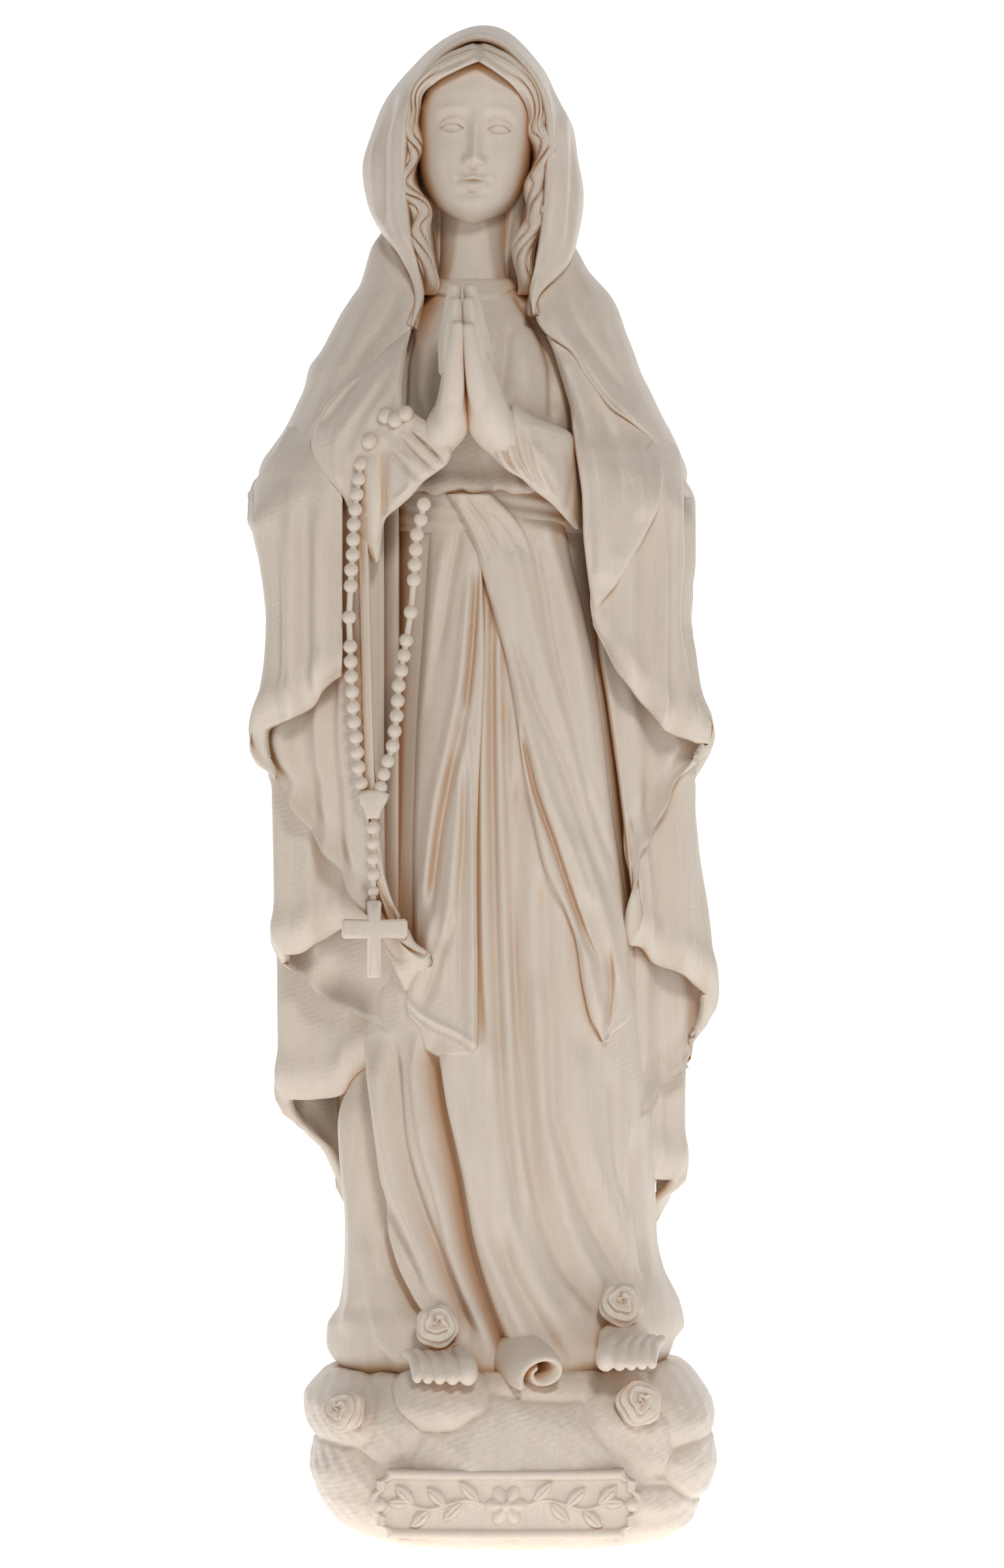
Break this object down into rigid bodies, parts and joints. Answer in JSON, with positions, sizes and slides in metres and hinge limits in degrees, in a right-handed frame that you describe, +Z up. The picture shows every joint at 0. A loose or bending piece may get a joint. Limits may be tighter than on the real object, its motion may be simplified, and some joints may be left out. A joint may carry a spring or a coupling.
{
  "type": "madonna statue",
  "caption": "Carved maple standing figure in a veil and mantle with praying hands and a rosary, on a rock base with roses and a nameplate.",
  "frame": {"origin": "middle of the rock base's flat underside", "axes": "+Z up, -Y towards the front that the face looks to, +X to the viewer's right; left and right in the node names are the viewer's"},
  "size_m": [0.0912, 0.0747, 0.3],
  "materials": {
    "rock_wood": "satin",
    "gown_wood": "satin",
    "mantle_wood": "satin",
    "figure_wood": "satin",
    "trim_wood": "satin",
    "dowel_wood": "matte"
  },
  "bodies": {
    "root": {"rock_base": "rock_wood", "nameplate": "rock_wood", "gown_skirt": "gown_wood", "belt": "gown_wood", "gown_bodice": "gown_wood", "sash_end_left": "gown_wood", "sash_end_right": "gown_wood", "sleeve_left": "gown_wood", "sleeve_right": "gown_wood", "mantle_back": "mantle_wood", "mantle_left": "mantle_wood", "mantle_right": "mantle_wood", "cape_left": "mantle_wood", "cape_right": "mantle_wood", "veil": "mantle_wood", "head": "figure_wood", "hair_left": "figure_wood", "hair_right": "figure_wood", "hand_left": "figure_wood", "hand_right": "figure_wood", "foot_left": "figure_wood", "foot_right": "figure_wood", "foot_rose_left": "trim_wood", "foot_rose_right": "trim_wood", "base_rose_left": "trim_wood", "base_rose_right": "trim_wood", "rosary_strands": "trim_wood", "rosary_centrepiece": "trim_wood", "rosary_drop": "trim_wood", "crucifix": "trim_wood", "neck_dowel": "dowel_wood", "base_dowels": "dowel_wood", "wrist_dowels": "dowel_wood"}
  },
  "joints": []
}
